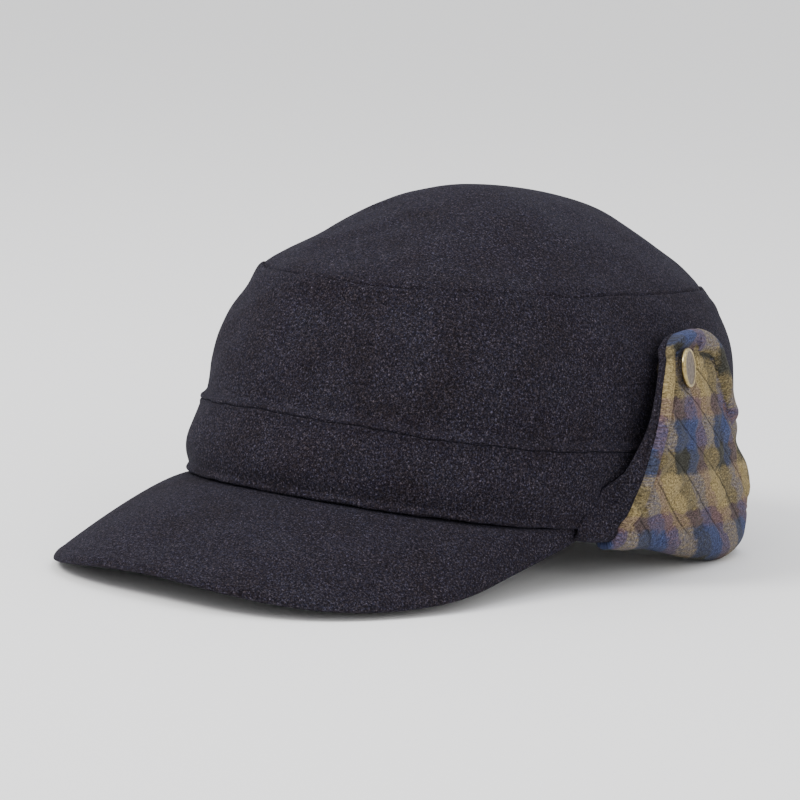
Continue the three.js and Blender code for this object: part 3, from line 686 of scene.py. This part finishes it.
# The wool side, whose cut edges are rounded
shellGrid = dict(columns=100, packing=0.45, margin=16, sewn=5, fold=26, ease=12, climb=60, arch=30)
shellEdge = dict(thin=0.3, over=4.0, start=0.25, round=1.0)


def shellObject(side, mirror):
    onFlap = packed(0, 1, shellGrid["columns"], shellGrid["packing"])
    share = np.concatenate([np.linspace(-1, 0, shellGrid["margin"])[:-1], onFlap])
    grid = flapGrid(share, shellGrid)
    points = grid["points"]
    nearest = np.minimum(distanceTo(points, points[:, 0][::3]), distanceTo(points, points[:, -1][::3]))
    nearest = np.minimum(nearest, distanceTo(points, points[-1, ::5]))
    thinned = shellEdge["thin"] + (1 - shellEdge["thin"]) * roundOff(nearest, shellEdge["over"])
    thick = cloth["shell"] * thinned * roundOff(nearest + shellEdge["start"], shellEdge["round"])
    return sheetObject(f"{side}_flap_wool", points, points - grid["ways"] * thick[..., None], mirror=mirror)


# The snaps: only their caps are made here, over the caps of the CAD model.
def rotated(v, axis, degrees):
    return np.array(Matrix.Rotation(math.radians(degrees), 3, Vector(axis)) @ Vector(v))


def snapFrame():
    at, angle = np.array(snap["level"]), np.array(snapAngle())
    reach = looseGap + shellAt(angle, at) + cloth["gap"] + cloth["lining"]
    centre = underFlap(angle, at, reach)
    along = underFlap(angle + 0.5, at, reach) - centre
    rise = underFlap(angle, at + 0.05, reach) - centre
    way = rotated(unit(np.cross(along, rise)), up, snap["turn"])
    return centre, rotated(way, (-way[1], way[0], 0), snap["nod"])


# A turned piece from rows of height and radius, with a point at each end. Its faces from the given row on
# take the second material.
def turnedObject(name, rows, centre, way, mirror, secondFrom, sides=96):
    ex = unit(np.cross(up, way))
    ey = np.cross(way, ex)
    turn = np.linspace(0, 2 * np.pi, sides, endpoint=False)
    ringWay = np.cos(turn)[:, None] * ex + np.sin(turn)[:, None] * ey
    points = [centre + way * rows[0][0]]
    for height, radius in rows[1:-1]:
        points.extend(centre + way * height + ringWay * radius)
    points.append(centre + way * rows[-1][0])
    faces, materials = [], []
    rings, end = len(rows) - 3, len(points) - 1
    for j in range(sides):
        k = (j + 1) % sides
        faces.append([0, 1 + k, 1 + j])
        for i in range(rings):
            a, b = 1 + i * sides, 1 + (i + 1) * sides
            faces.append([a + j, a + k, b + k, b + j])
        a = 1 + rings * sides
        faces.append([a + j, a + k, end])
        materials += [0] + [int(i + 1 >= secondFrom) for i in range(rings)] + [1]
    points = toRow(np.array(points))
    if mirror:
        points, faces = mirrored(points, faces)
    return meshObject(name, points, faces), materials


def snapObject(side, mirror):
    centre, way = snapFrame()
    s, r = snap["seat"], snap["radius"]
    rows = [
        # a foot pressed into the padding, the flat underside and the rim's outer side
        (s - 1.2, 0), (s - 1.2, 2.0), (s, 2.1), (s, r - 0.5),
        (s + 0.15, r - 0.15), (s + 0.5, r), (s + 0.9, r - 0.03),
        # the rim's rounded top and its inner side
        (s + 1.25, r - 0.17), (s + 1.5, r - 0.4), (s + 1.6, r - 0.65),
        (s + 1.55, r - 0.9), (s + 1.4, r - 1.08),
        # the slightly domed face
        (s + 1.32, r - 1.3), (s + 1.34, r - 2.6), (s + 1.45, 1.5), (s + 1.46, 0),
    ]
    return turnedObject(f"{side}_snap_face", rows, centre, way, mirror, secondFrom=11)


flannels, shells, snaps = {}, {}, {}
for side, mirror in (("left", False), ("right", True)):
    flannels[side] = flannelObject(side, mirror)
    shells[side] = shellObject(side, mirror)
    snaps[side] = snapObject(side, mirror)

# Materials
print("materials")


def newMaterial(name):
    made = bpy.data.materials.new(name)
    made.use_nodes = True
    made.node_tree.nodes.clear()
    return made, made.node_tree


# Adds one node with its settings, fills or links its inputs, and sets the stops of a colour ramp. A node
# given for an input is linked from its first output in use.
def addNode(tree, kind, inputs=None, stops=None, **settings):
    made = tree.nodes.new("ShaderNode" + kind)
    for key, value in settings.items():
        setattr(made, key, value)
    for key, value in (inputs or {}).items():
        if isinstance(value, bpy.types.Node):
            value = next(socket for socket in value.outputs if socket.enabled)
        if isinstance(value, bpy.types.NodeSocket):
            tree.links.new(value, made.inputs[key])
        else:
            made.inputs[key].default_value = value
    if stops:
        elements = made.color_ramp.elements
        elements.remove(elements[1])
        elements[0].position, elements[0].color = stops[0]
        for position, colour in stops[1:]:
            elements.new(position).color = colour
    return made


multiply = dict(data_type="RGBA", blend_type="MULTIPLY")  # the settings of a mix that darkens


def grey(value):
    return (value, value, value, 1)


# the stops of a ramp from pairs of a place and a hex colour
def hexStops(*pairs):
    return [(position, linear(hexColour)) for position, hexColour in pairs]


def finishMaterial(tree, inputs):
    shader = addNode(tree, "BsdfPrincipled", inputs)
    addNode(tree, "OutputMaterial", {"Surface": shader})


# Melton wool, woven and then felted: no weave shows, only a matt nap of dark, blue and pale fibres mixed
# before spinning. A fibre is 0.03 mm thick, so the flecks are drawn as tufts of about 0.5 mm. Broad soft
# patches of painted shade, for small dents in the felt, lie over them.
wool = dict(dark="#080709", middle="#1d1b20", light="#36343b", fleck="#74717c", sheen="#9ea2c0",
            tuft=0.5, clump=0.8, clumpShare=0.25, hueShare=0.62, shadePatch=18.0, pile=3.125, pileShare=0.8)


def makeWool():
    made, tree = newMaterial("wool_melton")
    place = addNode(tree, "TexCoord").outputs["Object"]
    fine = addNode(tree, "TexNoise", {
        "Vector": place, "Scale": 1000 / wool["tuft"], "Detail": 3.0, "Roughness": 0.8})
    clumps = addNode(tree, "TexNoise", {
        "Vector": place, "Scale": 1000 / wool["clump"], "Detail": 1.0, "Roughness": 0.5})
    tufts = addNode(tree, "Mix", {0: wool["clumpShare"], 6: fine, 7: clumps}, data_type="RGBA")
    hues = addNode(tree, "TexNoise", {
        "Vector": place, "Scale": 1000 * wool["hueShare"] / wool["tuft"], "Detail": 2.0, "Roughness": 0.6})
    # painted shade: broad soft patches, darker and browner, stand in for the shading of small dents in the
    # felt
    patches = addNode(tree, "TexNoise", {
        "Vector": place, "Scale": 1000 / wool["shadePatch"], "Detail": 2.0, "Roughness": 0.5})
    fibres = addNode(tree, "ValToRGB", {"Fac": tufts}, hexStops(
        (0.32, wool["dark"]), (0.48, wool["middle"]), (0.58, wool["light"]), (0.72, wool["fleck"])))
    tint = addNode(tree, "ValToRGB", {"Fac": hues}, hexStops(
        (0.36, "#ebe0d8"), (0.5, "#ebe6ea"), (0.64, "#d9dcf2")))
    # the painted shade of the dents, multiplied over the fibres below
    dentShade = addNode(tree, "ValToRGB", {"Fac": patches}, hexStops(
        (0.3, "#eae2dd"), (0.52, "#f6f2f4"), (0.75, "#ffffff")))
    tinted = addNode(tree, "Mix", {0: 1.0, 6: fibres, 7: tint}, **multiply)
    colour = addNode(tree, "Mix", {0: 1.0, 6: tinted, 7: dentShade}, **multiply)
    pile = addNode(tree, "TexNoise", {
        "Vector": place, "Scale": 1000 / wool["pile"], "Detail": 2.0, "Roughness": 0.6})
    softPile = addNode(tree, "Math", {0: pile, 1: wool["pileShare"]}, operation="MULTIPLY")
    height = addNode(tree, "Math", {0: tufts, 1: softPile}, operation="ADD")
    bump = addNode(tree, "Bump", {"Strength": 0.5, "Distance": 0.0005, "Height": height})
    finishMaterial(tree, {
        "Base Color": colour, "Roughness": 0.95, "Specular IOR Level": 0.05, "Sheen Weight": 0.04,
        "Sheen Roughness": 0.5, "Sheen Tint": linear(wool["sheen"]), "Normal": bump})
    return made


# Brushed cotton flannel in a woven check: coloured stripes run both ways, and where two cross each shows
# half. Brushing blurs the edges of the stripes and leaves a soft nap over a fine twill. The repeats, the
# blurs and the quilting thread are in millimetres of flat cloth.
flannel = dict(khaki="#aa986c", green="#464640", blue="#4a557e", mauve="#7e6669", sheen="#d8d4cc",
               thread="#343232", wide=30.0, high=37.0, highStart=6.5, threadWidth=0.3,
               waver=5.0, fuzz=3.2, twillTurn=-0.9, twillStretch=(0.4, 1.6, 1), twillShare=0.6)
wideStripes = ((0.0, "khaki"), (0.26, "khaki"), (0.31, "green"), (0.53, "green"), (0.58, "blue"),
               (0.78, "blue"), (0.82, "mauve"), (0.97, "mauve"), (1.0, "khaki"))
highStripes = ((0.0, "khaki"), (0.29, "khaki"), (0.33, "green"), (0.51, "green"), (0.55, "blue"),
               (0.79, "blue"), (0.83, "mauve"), (0.98, "mauve"), (1.0, "khaki"))
# the quilting's two sets of rows: the sign of their slope, where they start and how dark the thread shows,
# clearer in the rows that were sewn last
threadRows = ((1, quilt["first"], 0.6), (-1, quilt["second"], 0.22))
periodsBelow = 10  # whole repeats added, so that no stripe lies below zero


def stripes(tree, place, start, period, rows):
    shifted = addNode(tree, "Math", {0: place, 1: periodsBelow * period - start}, operation="ADD")
    turns = addNode(tree, "Math", {0: shifted, 1: period}, operation="DIVIDE")
    within = addNode(tree, "Math", {0: turns}, operation="FRACT")
    return addNode(tree, "ValToRGB", {"Fac": within}, hexStops(*((at, flannel[name]) for at, name in rows)))


# how far the brushing shifts each point of the check, in long wavers and short fuzz
def brushed(tree, flatPlace):
    shifts = []
    for scale, reach in ((0.25, flannel["waver"]), (2.2, flannel["fuzz"])):
        noise = addNode(tree, "TexNoise", {
            "Vector": flatPlace, "Scale": scale, "Detail": 2.0, "Roughness": 0.6})
        centred = addNode(tree, "Math", {0: noise, 1: 0.5}, operation="SUBTRACT")
        shifts.append(addNode(tree, "Math", {0: centred, 1: reach}, operation="MULTIPLY"))
    return addNode(tree, "Math", {0: shifts[0], 1: shifts[1]}, operation="ADD")


# the distance from the nearest row of quilting, as a colour that is dark on the thread
def threadColour(tree, across, along, sign, start):
    slant = addNode(tree, "Math", {0: across, 1: sign * quilt["slope"]}, operation="MULTIPLY")
    sloped = addNode(tree, "Math", {0: along, 1: slant}, operation="ADD")
    row = addNode(tree, "Math", {0: sloped, 1: start}, operation="SUBTRACT")
    rows = addNode(tree, "Math", {0: row, 1: quilt["pitch"]}, operation="DIVIDE")
    off = addNode(tree, "Math", {0: rows, 1: 0.5}, operation="PINGPONG")
    square = quilt["pitch"] / math.hypot(1, quilt["slope"])
    line = addNode(tree, "Math", {0: off, 1: square}, operation="MULTIPLY")
    width = flannel["threadWidth"]
    return addNode(tree, "ValToRGB", {"Fac": line}, hexStops(
        (width * 0.5, flannel["thread"]), (width * 1.5, "#ffffff")))


def makeFlannel():
    made, tree = newMaterial("flannel_check")
    flatPlace = addNode(tree, "UVMap", uv_map="flat")
    flatParts = addNode(tree, "SeparateXYZ", {"Vector": flatPlace})
    place = addNode(tree, "SeparateXYZ", {"Vector": addNode(tree, "UVMap", uv_map="pattern")})
    quilted = addNode(tree, "SeparateXYZ", {"Vector": addNode(tree, "UVMap", uv_map="sewing")}).outputs["X"]
    blur = brushed(tree, flatPlace)
    across = addNode(tree, "Math", {0: place.outputs["X"], 1: blur}, operation="ADD")
    along = addNode(tree, "Math", {0: place.outputs["Y"], 1: blur}, operation="ADD")
    wide = stripes(tree, across, 0.0, flannel["wide"], wideStripes)
    high = stripes(tree, along, flannel["highStart"], flannel["high"], highStripes)
    # the twill's ridges run up to the right, so the brushed fibres show as short slanting streaks
    slanted = addNode(tree, "Mapping", {
        "Vector": flatPlace, "Rotation": (0, 0, flannel["twillTurn"]), "Scale": flannel["twillStretch"]})
    streaks = addNode(tree, "TexNoise", {"Vector": slanted, "Scale": 1.0, "Detail": 3.0, "Roughness": 0.7})
    share = addNode(tree, "ValToRGB", {"Fac": streaks}, [(0.3, grey(0.22)), (0.7, grey(0.78))])
    colour = addNode(tree, "Mix", {0: share, 6: wide, 7: high}, data_type="RGBA")
    nap = addNode(tree, "TexNoise", {"Vector": flatPlace, "Scale": 1.5, "Detail": 3.0, "Roughness": 0.9})
    shade = addNode(tree, "ValToRGB", {"Fac": nap}, hexStops(
        (0.34, "#5a5855"), (0.5, "#b4b1ad"), (0.66, "#ffffff")))
    colour = addNode(tree, "Mix", {0: 1.0, 6: colour, 7: shade}, **multiply)
    for sign, start, strength in threadRows:
        thread = threadColour(tree, flatParts.outputs["X"], flatParts.outputs["Y"], sign, start)
        shown = addNode(tree, "Math", {0: quilted, 1: strength}, operation="MULTIPLY")
        colour = addNode(tree, "Mix", {0: shown, 6: colour, 7: thread}, **multiply)
    twill = addNode(tree, "Math", {0: streaks, 1: flannel["twillShare"]}, operation="MULTIPLY")
    height = addNode(tree, "Math", {0: nap, 1: twill}, operation="ADD")
    bump = addNode(tree, "Bump", {"Strength": 0.6, "Distance": 0.0005, "Height": height})
    finishMaterial(tree, {
        "Base Color": colour, "Roughness": 0.92, "Specular IOR Level": 0.08, "Sheen Weight": 0.06,
        "Sheen Roughness": 0.5, "Sheen Tint": linear(flannel["sheen"]), "Normal": bump})
    return made


# Stamped brass, plated an antique tone and then relieved: bright where the rim is rubbed, duller and browner
# on the face inside it. The stud behind the flap is painted nearly black: painted shade, for the shadow that
# it sits in under the flap. Each has its two colours, its lowest and highest roughness, and the grain of its
# wear as patches to the metre.
brass = dict(
    rim=dict(colours=("#7d6c45", "#b9a878"), roughness=(0.26, 0.4), grain=500.0),
    face=dict(colours=("#564c43", "#7d7061"), roughness=(0.42, 0.55), grain=900.0),
    # the stud's near-black is painted shade, for the shadow it sits in under the flap
    stud=dict(colours=("#1d1a17", "#37322b"), roughness=(0.5, 0.65), grain=700.0),
)


def makeBrass(part):
    made, tree = newMaterial("antique_brass_" + part)
    dull, bright = brass[part]["colours"]
    low, high = brass[part]["roughness"]
    place = addNode(tree, "TexCoord").outputs["Object"]
    wear = addNode(tree, "TexNoise", {
        "Vector": place, "Scale": brass[part]["grain"], "Detail": 4.0, "Roughness": 0.65})
    colour = addNode(tree, "ValToRGB", {"Fac": wear}, hexStops((0.35, dull), (0.65, bright)))
    rough = addNode(tree, "ValToRGB", {"Fac": wear}, [(0.3, grey(high)), (0.7, grey(low))])
    bump = addNode(tree, "Bump", {"Strength": 0.15, "Distance": 0.0001, "Height": wear})
    finishMaterial(tree, {"Base Color": colour, "Metallic": 1.0, "Roughness": rough, "Normal": bump})
    return made


woolMelton, flannelCheck = makeWool(), makeFlannel()
brassRim, brassFace, shadowedStudBrass = makeBrass("rim"), makeBrass("face"), makeBrass("stud")


def dress(piece, materials, slotName, *nodes):
    for material in materials:
        piece.data.materials.append(material)
    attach(piece, "root")
    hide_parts(*nodes)


for piece, node in ((wallCloth, "crown_wall"), (bandCloth, "band"), (topCloth, "crown_top")):
    dress(piece, [woolMelton], "wool", node)
dress(peakCloth, [woolMelton], "wool", "peak")
for side in ("left", "right"):
    dress(flannels[side], [flannelCheck], "lining", f"{side}_flap_lining")
    dress(shells[side], [woolMelton], "wool", f"{side}_flap_shell")
    cap, capMaterials = snaps[side]
    dress(cap, [brassRim, brassFace], "brass", f"{side}_snap_cap")
    cap.data.polygons.foreach_set("material_index", capMaterials)
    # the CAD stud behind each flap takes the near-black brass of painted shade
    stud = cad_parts[f"{side}_snap_stud"]
    stud.data.materials.clear()
    stud.data.materials.append(shadowedStudBrass)

# Floor, light and camera
print("stage")
studio = dict(floor="#f6f5f3", floorReach=6.0, floorDrop=0.0002, sky="#f2f3f6", skyStrength=1.45)
lights = [
    # name, place, aim, size in metres, watts, colour
    ("key", (-0.55, -1.15, 1.5), (0, 0, 0.06), 0.9, 27, "#ffffff"),
    ("top", (0.3, 0.4, 1.7), (0, 0, 0.08), 1.2, 7, "#eef2ff"),
    ("side", (1.7, -0.5, 0.7), (0, 0, 0.06), 1.0, 9, "#ffffff"),
]


def makeFloor():
    reach = studio["floorReach"]
    corners = np.array([(-reach, -reach, 0), (reach, -reach, 0), (reach, reach, 0), (-reach, reach, 0)])
    floor = meshObject("floor", corners, [(0, 1, 2, 3)])
    # matt pale paper, which takes the cap's shadow softly and shows no shine
    made, tree = newMaterial("pale_floor")
    finishMaterial(tree, {
        "Base Color": linear(studio["floor"]), "Roughness": 0.85, "Specular IOR Level": 0.1})
    floor.data.materials.append(made)
    floor.location.z = -studio["floorDrop"]


def makeSky():
    world = bpy.data.worlds.new("studio")
    bpy.context.scene.world = world
    world.use_nodes = True
    background = world.node_tree.nodes["Background"]
    background.inputs["Color"].default_value = linear(studio["sky"])
    background.inputs["Strength"].default_value = studio["skyStrength"]


def makeLight(name, place, aim, size, power, colour):
    data = bpy.data.lights.new(name, "AREA")
    data.shape, data.size, data.energy = "DISK", size, power
    data.color = linear(colour)[:3]
    made = bpy.data.objects.new(name, data)
    made.location = place
    made.rotation_mode = "QUATERNION"
    made.rotation_quaternion = (Vector(aim) - Vector(place)).to_track_quat("-Z", "Y")
    bpy.context.scene.collection.objects.link(made)


# Seen from the front left of the wearer, a little above the cap, with the picture turned slightly. The
# centre is the pixel of an 800 pixel frame where the cap's own origin falls, and focal is in its pixels.
view = dict(azimuth=40.0, elevation=7.6, roll=4.0, distance=1300.0, focal=3690.0, centre=(461.0, 473.5),
            frame=800, sensor=36.0, near=0.05, far=50)


def placeCamera():
    a, e, r = (math.radians(view[key]) for key in ("azimuth", "elevation", "roll"))
    back = np.array([math.sin(a) * math.cos(e), -math.cos(a) * math.cos(e), math.sin(e)])
    right = np.array([math.cos(a), math.sin(a), 0.0])
    above = np.cross(back, right)
    right, above = math.cos(r) * right + math.sin(r) * above, math.cos(r) * above - math.sin(r) * right
    aside, below = ((c - view["frame"] / 2) / view["focal"] for c in view["centre"])
    ahead = -back - right * aside + above * below
    place = toRow(back * view["distance"])
    back = unit(-(tip @ ahead))
    right = unit(np.cross(tip @ above, back))
    above = np.cross(back, right)
    data = bpy.data.cameras.new("camera")
    data.sensor_width = view["sensor"]
    data.lens = view["focal"] * view["sensor"] / view["frame"]
    data.clip_start, data.clip_end = view["near"], view["far"]
    made = bpy.data.objects.new("camera", data)
    axes = np.stack([right, above, back, place], -1)
    made.matrix_world = Matrix([*axes.tolist(), [0, 0, 0, 1]])
    bpy.context.scene.collection.objects.link(made)
    bpy.context.scene.camera = made


makeFloor()
makeSky()
for light in lights:
    makeLight(*light)
placeCamera()
